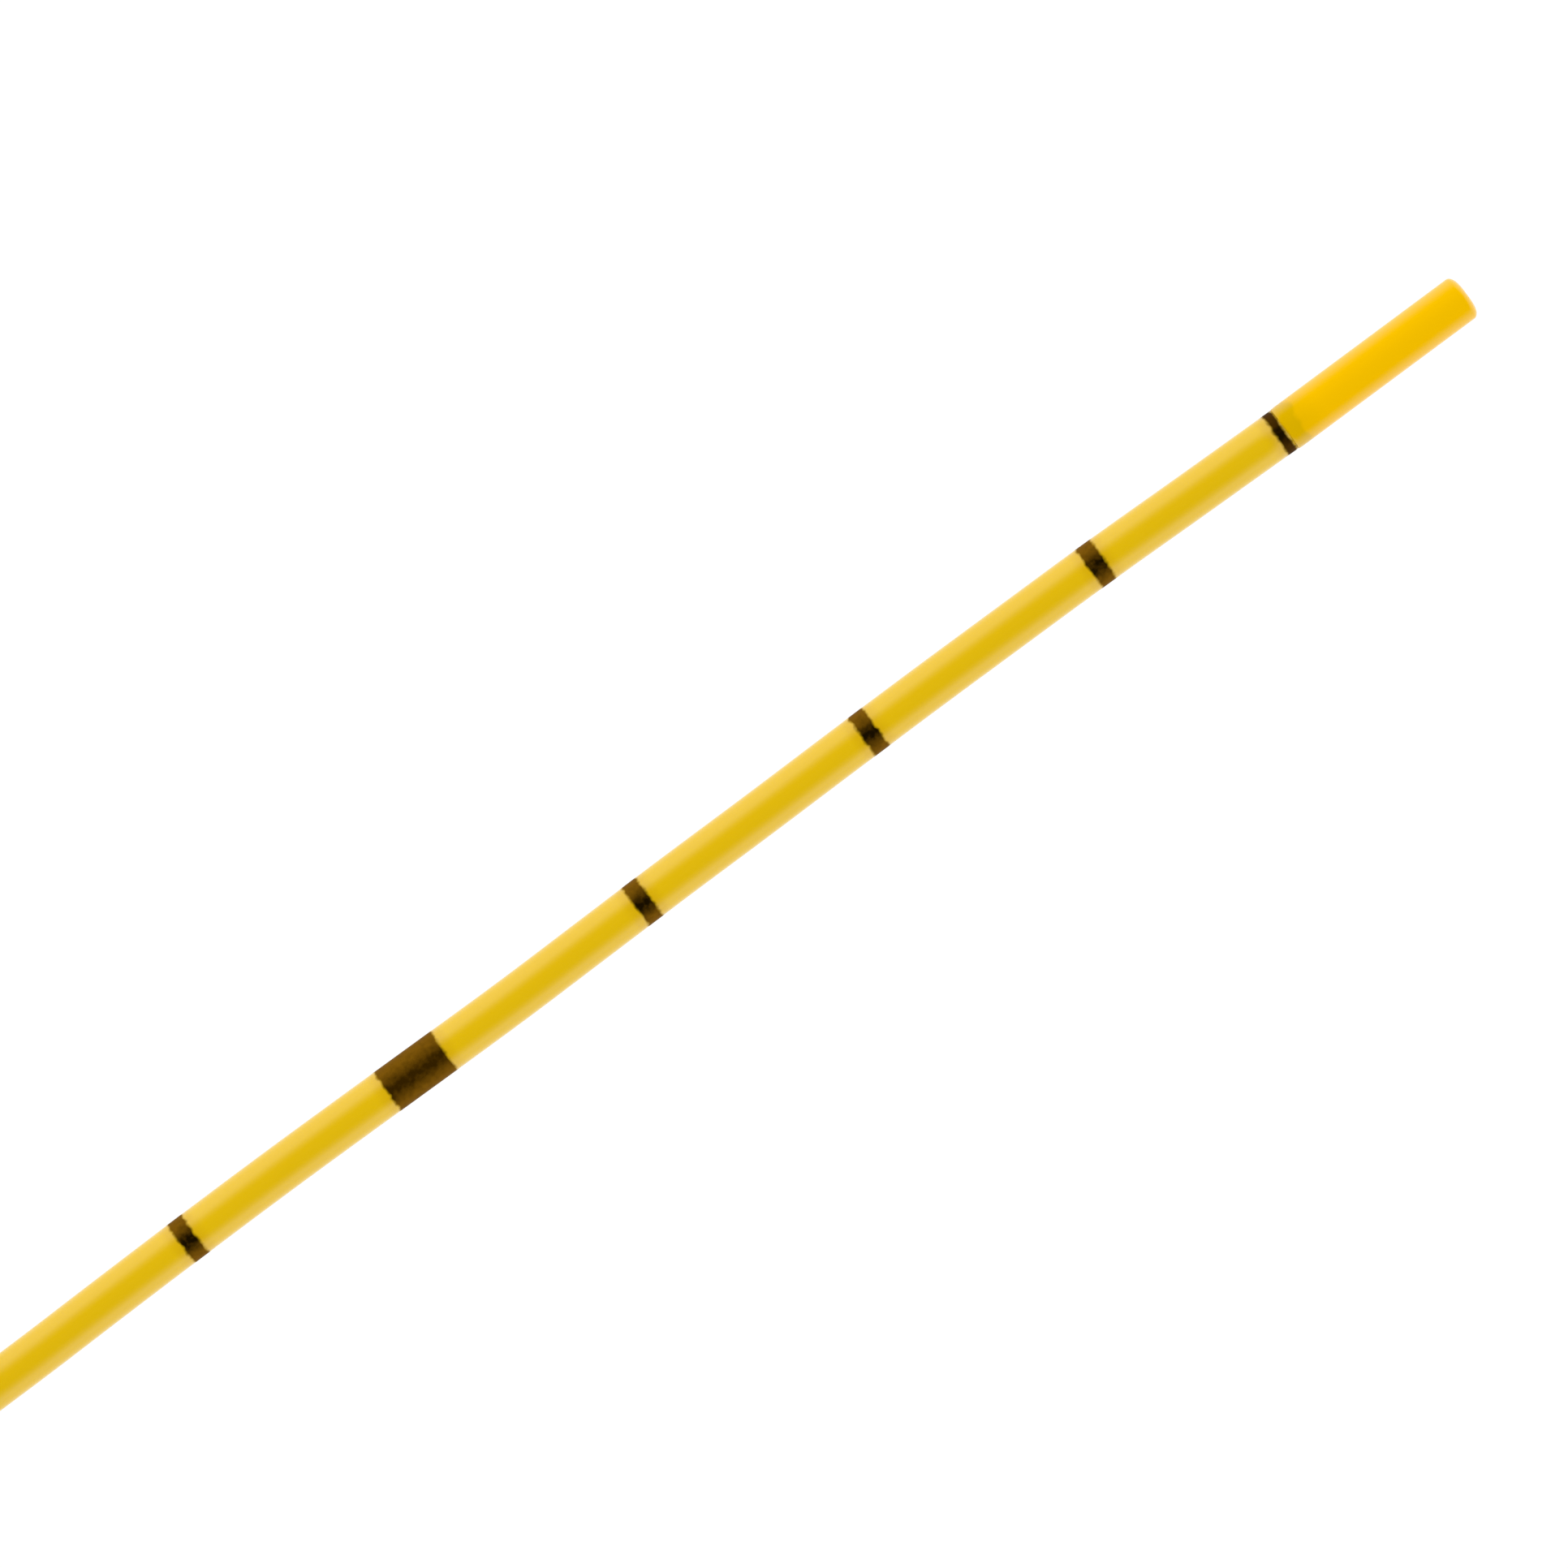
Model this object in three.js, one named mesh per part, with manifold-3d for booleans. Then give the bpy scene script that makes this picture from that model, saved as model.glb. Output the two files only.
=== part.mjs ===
// A graduated open-end ureteral catheter, size 5 Fr, lying with its spare length folded into a tied hank and
// its Luer-lock adapter on the far end.
// Millimetres, +Z up. The catheter lies on the plane z = 0 and its tip points along +X. The origin is on that
// plane, under the middle of the line from the adapter's Luer rim to the tip's end.
import * as THREE from "three";
import { mergeVertices } from "three/addons/utils/BufferGeometryUtils.js";
import Module from "manifold-3d";

const wasm = await Module();
wasm.setup();

// ---- Driving dimensions ----

// The tube. A French size is a third of a millimetre.
const tubeDiameter = 5 / 3;
const usableLength = 700; // from the tip's end to the tube's other end
const tubeSides = 8;
const tubeStep = 2.4; // length of one step of the plain tube solids
const jointGap = 0.05; // left between solids that meet or lie on each other
const endGap = 0.3; // between the hank's solid and the ends of the bends
const grooveGap = 0.2; // round the bends, where they lie against it

// The soft tip, a slightly thicker tube welded to the end of the shaft.
const tipLength = 8;
const tipThickerBy = 0.027; // how much larger its radius is than the shaft's
const lumenDiameter = 0.97;
const tipEndRadius = 0.2;
const tipSides = 24;

// The printed depth marks: distance of each centre from the tip's end, and its width.
const markWidth = 0.69;
const wideMarkWidth = 2.5;
const weldMarkWidth = 0.43; // the thin one, on the weld
const markPitch = 10;
const secondMarkAt = 16.2; // the first one is on the weld
const printedMarks = 5; // after the one on the weld, as far as the straight stretch goes
const wideMark = 4; // which of them is wide
const markFilm = 0.04; // thickness of the film
const markGap = 0.02; // between the film and the tube's facets

// The straight stretch, from the tip's end to where the tube bends aside for the hank.
const straightRun = 65.5;
// How it lies: distance from the tip's end, and how far it strays to +Y.
const straightRoute = [
  [8, 0],
  [12, 0.07],
  [16, 0.15],
  [20, 0.17],
  [24, 0.18],
  [27.5, 0.16],
  [31, 0.13],
  [35, 0.12],
  [38.5, 0.08],
  [42, 0.045],
  [45, 0.065],
  [48.5, 0.1],
  [52, 0.125],
  [56, 0.11],
  [60, 0.06],
  [63, 0.01],
];

// The hank: long loops wound as flat spirals on top of each other, the lowest one inwards, the next outwards.
// Its whole turns are followed by one more straight side, so that it ends at the other end from its start.
const hankLayers = 4;
const wholeTurns = 6;
const lastSideShare = 0.28; // what the last side counts for, in turns
const turnGap = 0.03; // between neighbouring turns
const innerTurn = 5; // bend of the innermost turn, three diameters
const bendRun = 16; // length of the bend between the catheter's axis and the hank's side
const hankEndSegments = 24;

// The strap round the hank's middle.
const tieWidth = 5;
const tieThickness = 0.15;
const tieSlack = 0.15; // room between the strap and the hank at the sides and top
const tieOverlap = 6; // where its two ends are bonded on each other, on top

// The adapter, measured from its nose, which faces the hank, back to its Luer rim.
const noseGap = 1; // between the end of the bend and the nose
const adapterLength = 30;
const tubeInAdapter = 16; // how far the tube runs in
const boreClearance = 0.37; // round the tube, in every hole that it passes
const adapterSides = 24;

// Its compression cap.
const capRadius = 5.5; // over the grip ribs
const capLength = 10;
const capWall = 1.6; // the front wall
const ribCount = 12;
const ribDepth = 0.45;
const capEdge = 0.6; // chamfer on its ends
const noseFlare = 0.9; // the cone that leads the tube in

// Its screw thread.
const threadPitch = 1.5;
const threadDepth = 0.6;
const threadClearance = 0.16;
const threadRadius = 3.75; // the mean radius of the outer thread
const threadStart = 2.6; // where the body begins, behind the nose
const threadLength = 6;
const rowsPerPitch = 6;
const roundingError = 1e-4;

// The gland under the cap.
const glandRadius = 2.6;
const glandClearance = 0.1;
const bossLength = 2.7; // how far the cap's boss reaches into the gland
const washerThickness = 0.8;
const grommetLength = 4;
const grommetClearance = 0.047; // round the tube, all but gripping it

// The body behind the thread.
const collarRadius = 4.5;
const collarStart = 10.6;
const collarLength = 1.6;
const barrelRadius = 3.3;
const wingSpan = 15;
const wingLength = 8;
const wingThickness = 1.4;
const wingCorner = 2.6;

// The Luer port: a 6 percent taper in a hub with two locking lugs.
const luerMouthRadius = 2.145;
const luerTaper = 0.03; // change of radius per length
const luerDepth = 8;
const lugRadius = 3.9;
const lugThickness = 1.1;
const lugHalfAngle = 0.6; // radians
const hubEdge = 0.25; // chamfer on the rim

// For the shapes that cut others.
const cutterReach = 1; // how far they go on past what they cut
const joinDepth = 0.5; // how deep the wings and lugs sink into the barrel's wall

// ---- What follows from them ----

const tubeRadius = tubeDiameter / 2;
const tipRadius = tubeRadius + tipThickerBy;
const boreRadius = tubeRadius + boreClearance;

const turnsPerLayer = (wholeTurns + lastSideShare) / hankLayers;
const tieFloor = tieThickness + jointGap; // the strap passes under the hank
const turnPitch = tubeDiameter + turnGap;
const lowTurn = tieFloor + tubeRadius;
const topTurn = lowTurn + (hankLayers - 1) * turnPitch;
const hankTop = topTurn + tubeRadius;
const outerTurn = innerTurn + turnsPerLayer * turnPitch;
const hankOuter = outerTurn + tubeRadius;
const hankInner = innerTurn - tubeRadius;

// The bend between the catheter's axis and the hank's side is half a cosine wave. Its share of the way aside:
const bendShare = (t) => (1 - Math.cos(Math.PI * t)) / 2;
function bendLength() {
  const steps = 200;
  let length = 0;
  for (let i = 0; i < steps; i++) {
    const aside = outerTurn * (bendShare((i + 1) / steps) - bendShare(i / steps));
    length += Math.hypot(bendRun / steps, aside);
  }
  return length;
}

// The hank's straight sides take up the rest of the tube.
const roundTheEnds = 2 * Math.PI * ((innerTurn + outerTurn) / 2);
const hankedLength = usableLength - straightRun - 2 * bendLength() - noseGap - tubeInAdapter;
const hankSide = (hankedLength - wholeTurns * roundTheEnds) / (2 * wholeTurns + 1);

const axisHeight = capRadius; // the cap rests on the plane
const wholeLength = straightRun + 2 * bendRun + hankSide + noseGap + adapterLength;
const tipEndX = wholeLength / 2;
const hankStartX = tipEndX - straightRun - bendRun; // the middle of its round end
const hankEndX = hankStartX - hankSide;
const noseX = hankEndX - bendRun - noseGap;

// ---- Helpers ----

// A body of revolution about the X axis, from [x, radius] points that run round its section.
function turned(points, sides) {
  const profile = points.map(([x, r]) => new THREE.Vector2(r, x));
  if (THREE.ShapeUtils.area(profile) < 0) profile.reverse();
  profile.push(profile[0].clone());
  const made = new THREE.LatheGeometry(profile, sides);
  made.rotateZ(-Math.PI / 2); // a lathe's own axis is Y, and the catheter's is X
  return made;
}

function solidOf(geometry) {
  const bare = geometry.clone();
  bare.deleteAttribute("normal");
  bare.deleteAttribute("uv");
  const merged = mergeVertices(bare, 1e-4);
  return new wasm.Manifold(
    new wasm.Mesh({
      numProp: 3,
      vertProperties: merged.attributes.position.array,
      triVerts: new Uint32Array(merged.index.array),
    }),
  );
}

function geometryOf(solid) {
  const made = solid.getMesh();
  return new THREE.BufferGeometry()
    .setAttribute("position", new THREE.BufferAttribute(made.vertProperties, 3))
    .setIndex(new THREE.BufferAttribute(made.triVerts, 1));
}

function polygon(radius, sides, Kind = THREE.Shape) {
  const points = [];
  for (let i = 0; i < sides; i++) {
    const angle = ((i + 0.5) / sides) * 2 * Math.PI;
    points.push(new THREE.Vector2(radius * Math.cos(angle), radius * Math.sin(angle)));
  }
  return new Kind(points);
}

function along(curve, section, step) {
  const steps = Math.max(1, Math.round(curve.getLength() / step));
  return new THREE.ExtrudeGeometry(section, { steps, extrudePath: curve, bevelEnabled: false });
}

// The stretch of a route between two distances from its start.
function stretch(curve, from, to) {
  const length = curve.getLength();
  const count = Math.max(4, Math.ceil((to - from) / tubeStep) + 1);
  const points = [];
  for (let i = 0; i < count; i++) {
    const distance = from + ((to - from) * i) / (count - 1);
    points.push(curve.getPointAt(Math.min(1, distance / length))); // rounding can take it just past 1
  }
  return new THREE.CatmullRomCurve3(points);
}

// ---- Materials ----

const plastic = (color, roughness, more = {}) =>
  new THREE.MeshStandardMaterial({ color, roughness, metalness: 0, ...more });
const shaftYellow = plastic(0xe6bb1e, 0.4);
const tipYellow = plastic(0xf5c405, 0.45);
const ink = plastic(0x3a2508, 0.6);
const clearPlastic = plastic(0xdfe6ea, 0.15, { transparent: true, opacity: 0.6 });
const whitePlastic = plastic(0xf2f2ee, 0.4);
const silicone = plastic(0xb9c3c6, 0.55);
const strapPaper = plastic(0xf7f7f2, 0.8);

const catheter = new THREE.Group();

function add(name, geometry, material, x = 0, y = 0, z = 0) {
  const mesh = new THREE.Mesh(geometry, material);
  mesh.name = name;
  mesh.position.set(x, y, z);
  catheter.add(mesh);
}

// ---- The soft tip ----

function softTip() {
  const bore = lumenDiameter / 2;
  const profile = [
    [-tipLength, bore],
    [-tipEndRadius / 2, bore],
    [0, bore + tipEndRadius / 2],
  ];
  for (let i = 0; i <= 4; i++) {
    const angle = (i / 4) * (Math.PI / 2);
    profile.push([
      -tipEndRadius * (1 - Math.cos(angle)),
      tipRadius - tipEndRadius * (1 - Math.sin(angle)),
    ]);
  }
  profile.push([-tipLength, tipRadius]);
  return turned(profile, tipSides);
}
add("soft_tip", softTip(), tipYellow, tipEndX, 0, tipRadius);

// ---- The shaft's straight stretch and its depth marks ----

function straightCurve() {
  const reach = straightRun + bendRun;
  const height = (distance) => tipRadius + ((lowTurn - tipRadius) * distance) / reach;
  const points = straightRoute.map(
    ([distance, stray]) => new THREE.Vector3(tipEndX - distance, stray, height(distance)),
  );
  const steps = 8;
  for (let i = 0; i <= steps; i++) {
    const distance = straightRun + (bendRun * i) / steps;
    const aside = -outerTurn * bendShare(i / steps);
    points.push(new THREE.Vector3(tipEndX - distance, aside, height(distance)));
  }
  return new THREE.CatmullRomCurve3(points);
}
const straight = straightCurve();
add(
  "shaft_straight",
  along(
    stretch(straight, jointGap, straight.getLength() - endGap),
    polygon(tubeRadius, tubeSides),
    tubeStep,
  ),
  shaftYellow,
);

const marks = [{ at: tipLength + jointGap + weldMarkWidth / 2, width: weldMarkWidth }];
for (let i = 1; i <= printedMarks; i++) {
  const width = i === wideMark ? wideMarkWidth : markWidth;
  marks.push({ at: secondMarkAt + (i - 1) * markPitch, width });
}

function markRing({ at, width }) {
  const section = polygon(tubeRadius + markGap + markFilm, tubeSides);
  section.holes.push(polygon(tubeRadius + markGap, tubeSides, THREE.Path));
  const middle = at - tipLength;
  return along(stretch(straight, middle - width / 2, middle + width / 2), section, width);
}
marks.forEach((mark, i) => add(`depth_mark_${i + 1}`, markRing(mark), ink));

// ---- The stretch from the hank into the adapter ----

function tailCurve() {
  const points = [];
  const steps = 8;
  for (let i = 0; i <= steps; i++) {
    const share = 1 - bendShare(i / steps); // what is left of the way to the adapter's axis
    const height = axisHeight + (topTurn - axisHeight) * share;
    points.push(new THREE.Vector3(hankEndX - (bendRun * i) / steps, -outerTurn * share, height));
  }
  points.push(new THREE.Vector3(noseX, 0, axisHeight));
  points.push(new THREE.Vector3(noseX - tubeInAdapter / 2, 0, axisHeight));
  points.push(new THREE.Vector3(noseX - tubeInAdapter, 0, axisHeight));
  return new THREE.CatmullRomCurve3(points);
}
const tail = tailCurve();
add(
  "shaft_tail",
  along(stretch(tail, endGap, tail.getLength()), polygon(tubeRadius, tubeSides), tubeStep),
  shaftYellow,
);

// ---- The hank and its strap ----

// A long loop with round ends, as a shape or as a hole in one.
function longLoop(radius, Kind = THREE.Shape) {
  const loop = new Kind();
  loop.absarc(hankStartX, 0, radius, -Math.PI / 2, Math.PI / 2);
  loop.absarc(hankEndX, 0, radius, Math.PI / 2, 1.5 * Math.PI);
  loop.closePath();
  return loop;
}

// The space that the whole winding fills, less the bends that lie against it.
function hank() {
  const outline = longLoop(hankOuter);
  outline.holes.push(longLoop(hankInner, THREE.Path));
  const block = new THREE.ExtrudeGeometry(outline, {
    depth: hankTop - tieFloor,
    steps: 1,
    bevelEnabled: false,
    curveSegments: hankEndSegments,
  });
  block.translate(0, 0, tieFloor);
  const groove = polygon(tubeRadius + grooveGap, tubeSides);
  const leadIn = stretch(straight, straightRun - tipLength, straight.getLength());
  const bends = [along(leadIn, groove, tubeStep), along(stretch(tail, 0, bendRun), groove, tubeStep)];
  return geometryOf(bends.reduce((left, bend) => left.subtract(solidOf(bend)), solidOf(block)));
}
add("shaft_hank", hank(), shaftYellow);

function hankStrap() {
  const side = hankOuter + tieSlack;
  const top = hankTop + tieSlack;
  const outline = new THREE.Shape();
  outline.moveTo(-side - tieThickness, 0);
  outline.lineTo(side + tieThickness, 0);
  outline.lineTo(side + tieThickness, top + tieThickness);
  outline.lineTo(tieOverlap / 2, top + tieThickness);
  outline.lineTo(tieOverlap / 2, top + tieThickness * 2);
  outline.lineTo(-tieOverlap / 2, top + tieThickness * 2);
  outline.lineTo(-tieOverlap / 2, top + tieThickness);
  outline.lineTo(-side - tieThickness, top + tieThickness);
  const hole = new THREE.Path();
  hole.moveTo(-side, tieThickness);
  hole.lineTo(side, tieThickness);
  hole.lineTo(side, top);
  hole.lineTo(-side, top);
  outline.holes.push(hole);
  const strap = new THREE.ExtrudeGeometry(outline, { depth: tieWidth, steps: 1, bevelEnabled: false });
  strap.translate(0, 0, -tieWidth / 2);
  strap.rotateX(Math.PI / 2); // drawn flat, it now stands
  strap.rotateZ(Math.PI / 2);
  return strap;
}
add("hank_strap", hankStrap(), strapPaper, (hankStartX + hankEndX) / 2, 0, 0);

// ---- The adapter ----

// Turns a lathed wall into a right-hand screw thread: its radius follows a wave that runs round the axis as
// a helix. Over one pitch at each end of the stretch, the wave fades into a plain wall: at the wave's foot on
// the outer thread (side -1), and at its crest in the cap (side 1), so that the two never meet.
function cutThread(geometry, from, to, side) {
  const position = geometry.attributes.position;
  for (let i = 0; i < position.count; i++) {
    const x = position.getX(i);
    const y = position.getY(i);
    const z = position.getZ(i);
    const r = Math.hypot(y, z);
    const inside = Math.min(from - x, x - to);
    if (Math.abs(r - threadRadius) < threadDepth && inside > -roundingError) {
      const fade = Math.min(1, inside / threadPitch);
      const turn = Math.atan2(z, y) / (2 * Math.PI);
      const wave = Math.cos(2 * Math.PI * (x / threadPitch - turn));
      const share = (r + (threadDepth / 2) * (fade * wave + (1 - fade) * side)) / r;
      position.setY(i, y * share);
      position.setZ(i, z * share);
    }
  }
  return geometry;
}

// The rows of a threaded wall: [x, radius] points from one x to another.
function threadRows(from, to, radius) {
  const count = Math.round(Math.abs(to - from) / (threadPitch / rowsPerPitch));
  const rows = [];
  for (let i = 0; i <= count; i++) rows.push([from + ((to - from) * i) / count, radius]);
  return rows;
}

const threadBack = threadStart + threadLength;
const bossEnd = capWall + bossLength;
const washerStart = bossEnd + jointGap;
const grommetStart = washerStart + washerThickness + jointGap;
const glandEnd = grommetStart + grommetLength + jointGap;
const luerBottom = adapterLength - luerDepth;
const wingMiddle = (collarStart + collarLength + luerBottom) / 2;

// The wings are one plate across the barrel, flat when the adapter lies down.
function wings(bore) {
  const half = wingLength / 2;
  const side = wingSpan / 2;
  const plate = new THREE.Shape();
  plate.moveTo(-half, -side + wingCorner);
  plate.absarc(-half + wingCorner, -side + wingCorner, wingCorner, Math.PI, 1.5 * Math.PI);
  plate.absarc(half - wingCorner, -side + wingCorner, wingCorner, 1.5 * Math.PI, 2 * Math.PI);
  plate.absarc(half - wingCorner, side - wingCorner, wingCorner, 0, 0.5 * Math.PI);
  plate.absarc(-half + wingCorner, side - wingCorner, wingCorner, 0.5 * Math.PI, Math.PI);
  const made = new THREE.ExtrudeGeometry(plate, {
    depth: wingThickness,
    steps: 1,
    bevelEnabled: false,
    curveSegments: 5,
  });
  made.translate(-wingMiddle, 0, -wingThickness / 2);
  return solidOf(made).subtract(bore);
}

// One locking lug: a sector of a ring at the rim.
function lug(bore, middle) {
  const sector = new THREE.Shape();
  sector.absarc(0, 0, lugRadius, middle - lugHalfAngle, middle + lugHalfAngle);
  sector.lineTo(0, 0);
  const made = new THREE.ExtrudeGeometry(sector, {
    depth: lugThickness,
    steps: 1,
    bevelEnabled: false,
    curveSegments: 6,
  });
  made.rotateY(Math.PI / 2);
  made.translate(-adapterLength + hubEdge, 0, 0);
  return solidOf(made).subtract(bore);
}

function adapterBody() {
  const mouth = luerMouthRadius;
  const throat = mouth - luerTaper * luerDepth;
  const wall = [
    ...threadRows(-threadStart, -threadBack, threadRadius),
    [-threadBack - threadPitch / rowsPerPitch, barrelRadius], // the thread runs out into the barrel
    [-collarStart, barrelRadius],
    [-collarStart, collarRadius],
    [-collarStart - collarLength, collarRadius],
    [-collarStart - collarLength, barrelRadius],
    [-adapterLength + hubEdge, barrelRadius],
    [-adapterLength, barrelRadius - hubEdge],
    [-adapterLength, mouth],
    [-luerBottom, throat],
    [-luerBottom + throat - boreRadius, boreRadius],
    [-glandEnd, boreRadius],
    [-glandEnd, glandRadius],
    [-threadStart, glandRadius],
  ];
  const barrel = solidOf(cutThread(turned(wall, adapterSides), -threadStart, -threadBack, -1));
  // Everything inside the barrel, to keep the wings and lugs out of its bores.
  const core = solidOf(
    turned(
      [
        [-threadStart, 0],
        [-threadStart, barrelRadius - joinDepth],
        [-adapterLength - cutterReach, barrelRadius - joinDepth],
        [-adapterLength - cutterReach, 0],
      ],
      adapterSides,
    ),
  );
  const parts = [wings(core), lug(core, 0), lug(core, Math.PI)];
  return geometryOf(parts.reduce((whole, part) => whole.add(part), barrel));
}
add("adapter_body", adapterBody(), clearPlastic, noseX, 0, axisHeight);

// A plain ring between two distances behind the nose.
function ring(from, to, inner, outer) {
  return turned(
    [
      [-from, inner],
      [-from, outer],
      [-to, outer],
      [-to, inner],
    ],
    adapterSides,
  );
}
add(
  "seal_grommet",
  ring(
    grommetStart,
    grommetStart + grommetLength,
    tubeRadius + grommetClearance,
    glandRadius - glandClearance,
  ),
  silicone,
  noseX,
  0,
  axisHeight,
);
add(
  "thrust_washer",
  ring(washerStart, washerStart + washerThickness, boreRadius, glandRadius - glandClearance),
  whitePlastic,
  noseX,
  0,
  axisHeight,
);

// The cap: a ribbed cup with a thread inside its skirt and a boss that presses on the washer.
function compressionCap() {
  const outline = new THREE.Shape();
  const corners = ribCount * 4;
  for (let i = 0; i < corners; i++) {
    const angle = (i / corners) * 2 * Math.PI - Math.PI / 2;
    // Four corners to a rib: its crest, its flank, the groove's foot and the next rib's flank.
    const radius = capRadius - ribDepth * [0, 0.5, 1, 0.5][i % 4];
    const point = [radius * Math.cos(angle), radius * Math.sin(angle)];
    if (i) outline.lineTo(...point);
    else outline.moveTo(...point);
  }
  const block = new THREE.ExtrudeGeometry(outline, { depth: capLength, steps: 1, bevelEnabled: false });
  // The outline's own lowest corner is a rib, and it stays lowest once the block lies along X.
  block.rotateZ(Math.PI / 2);
  block.rotateY(-Math.PI / 2);
  const envelope = turned(
    [
      [0, 0],
      [0, capRadius - capEdge],
      [-capEdge, capRadius + jointGap],
      [-capLength + capEdge, capRadius + jointGap],
      [-capLength, capRadius - capEdge],
      [-capLength, 0],
    ],
    ribCount * 4,
  );
  const skirtRadius = threadRadius + threadClearance;
  const openRadius = skirtRadius + threadDepth / 2;
  const skirtEnd = -threadBack - threadPitch;
  const hollow = turned(
    [
      [-bossEnd, boreRadius],
      [-bossEnd, glandRadius - glandClearance],
      [-capWall, glandRadius - glandClearance],
      [-capWall, openRadius],
      ...threadRows(-threadStart, skirtEnd, skirtRadius),
      [-capLength - cutterReach, openRadius],
      [-capLength - cutterReach, 0],
      [cutterReach, 0],
      [cutterReach, boreRadius + noseFlare],
      [0, boreRadius + noseFlare],
      [-noseFlare, boreRadius],
    ],
    adapterSides,
  );
  return geometryOf(
    solidOf(block)
      .intersect(solidOf(envelope))
      .subtract(solidOf(cutThread(hollow, -threadStart, skirtEnd, 1))),
  );
}
add("compression_cap", compressionCap(), whitePlastic, noseX, 0, axisHeight);

export default catheter;
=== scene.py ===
"""A graduated open-end ureteral catheter: a thin translucent yellow tube with dark printed rings,
a soft tip on one end and a screw-down Luer-lock adapter on the other.
Metres, in the CAD frame: +X towards the tip, +Z up."""

import math

import bpy
import numpy as np
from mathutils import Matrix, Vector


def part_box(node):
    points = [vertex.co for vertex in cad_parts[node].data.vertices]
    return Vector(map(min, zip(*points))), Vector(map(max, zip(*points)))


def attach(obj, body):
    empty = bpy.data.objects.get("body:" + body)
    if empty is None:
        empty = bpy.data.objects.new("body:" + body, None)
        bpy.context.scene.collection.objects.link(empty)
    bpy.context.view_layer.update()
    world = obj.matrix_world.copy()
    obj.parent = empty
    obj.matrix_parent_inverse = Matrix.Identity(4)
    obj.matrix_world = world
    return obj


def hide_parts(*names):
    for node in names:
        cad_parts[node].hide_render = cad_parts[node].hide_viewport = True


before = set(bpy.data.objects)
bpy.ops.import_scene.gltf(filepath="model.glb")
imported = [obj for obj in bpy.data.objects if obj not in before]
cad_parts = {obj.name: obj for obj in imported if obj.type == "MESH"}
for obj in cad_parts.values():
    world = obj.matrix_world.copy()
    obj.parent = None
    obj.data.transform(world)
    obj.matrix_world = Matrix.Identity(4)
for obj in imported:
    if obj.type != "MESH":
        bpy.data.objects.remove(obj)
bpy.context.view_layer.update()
mm = 0.001

# ---- The camera ----
# It looks straight down on the tip and the first 64 mm of the tube, through a long lens, and is
# rolled so that the tube runs up to the right.

roll = math.radians(-36.56)
view_width = 55.47 * mm  # at the tube's height
eye_distance = 600 * mm
aim_behind_tip = 29.70 * mm
aim_aside = 0.47 * mm  # to +Y
tip_low, tip_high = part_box("soft_tip")
tip_end = tip_high.x
tip_radius = (tip_high.z - tip_low.z) / 2

camera = bpy.data.objects.new("camera", bpy.data.cameras.new("camera"))
bpy.context.scene.collection.objects.link(camera)
camera.data.sensor_width = 36
camera.data.lens = camera.data.sensor_width * eye_distance / view_width
camera.data.clip_start = 0.01
camera.data.clip_end = 20
camera.location = (tip_end - aim_behind_tip, aim_aside, tip_radius + eye_distance)
camera.rotation_euler = (0, 0, roll)
bpy.context.scene.camera = camera

# ---- The shaft ----
# One flexible polyurethane tube, 5 French (a third of a millimetre each), 700 mm long with the tip.
# It runs straight from the tip, is folded into a hank, and ends 16 mm inside the adapter. Its lumen
# goes right through.

tube_radius = 5 / 6 * mm
lumen_radius = 0.485 * mm
tip_length = 8 * mm
straight_run = 65.5 * mm
straight_route = [  # distance from the tip's end, and how far it strays to +Y
    (8, 0),
    (12, 0.07),
    (16, 0.15),
    (20, 0.17),
    (24, 0.18),
    (27.5, 0.16),
    (31, 0.13),
    (35, 0.12),
    (38.5, 0.08),
    (42, 0.045),
    (45, 0.065),
    (48.5, 0.1),
    (52, 0.125),
    (56, 0.11),
    (60, 0.06),
    (63, 0.01),
    (65.5, 0),
]
hank_layers = 4
whole_turns = 6
inner_turn = 5 * mm
climb_rate = 4.7  # a climb to the next layer takes 1 / climb_rate of a layer's run
bend_run = 16 * mm  # length of the bend between the catheter's axis and the hank's side
tube_in_adapter = 16 * mm
hank_low, hank_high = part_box("shaft_hank")
cap_low, cap_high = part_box("compression_cap")
outer_turn = hank_high.y - tube_radius
low_turn = hank_low.z + tube_radius
top_turn = hank_high.z - tube_radius
axis_height = (cap_low.z + cap_high.z) / 2
hank_start = tip_end - straight_run - bend_run  # the middle of its round end
hank_end = hank_low.x + outer_turn + tube_radius
hank_side = hank_start - hank_end
half_end = math.pi * (inner_turn + outer_turn) / 2
one_turn = 2 * (hank_side + half_end)
hank_length = whole_turns * one_turn + hank_side


def straight_stretch(at):
    """Distances from the tip's end to points: a smooth curve through the route, made of cubic pieces
    whose slope at each point is the one between its neighbours, then half a cosine wave aside to
    the hank."""
    x, y = np.array(straight_route).T * mm
    slope = np.gradient(y, x)
    slope[-1] = 0
    k = np.clip(np.searchsorted(x, at, side="right") - 1, 0, len(x) - 2)
    h = x[k + 1] - x[k]
    t = np.clip((at - x[k]) / h, 0, 1)
    stray = y[k] * (1 + 2 * t) * (1 - t) ** 2 + y[k + 1] * t**2 * (3 - 2 * t)
    stray += slope[k] * h * t * (1 - t) ** 2 + slope[k + 1] * h * t**2 * (t - 1)
    bend = np.clip((at - straight_run) / bend_run, 0, 1)
    stray -= outer_turn * (1 - np.cos(math.pi * bend)) / 2
    height = tip_radius + (low_turn - tip_radius) * at / (straight_run + bend_run)
    return np.stack([tip_end - at, stray, height], axis=1)


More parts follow.
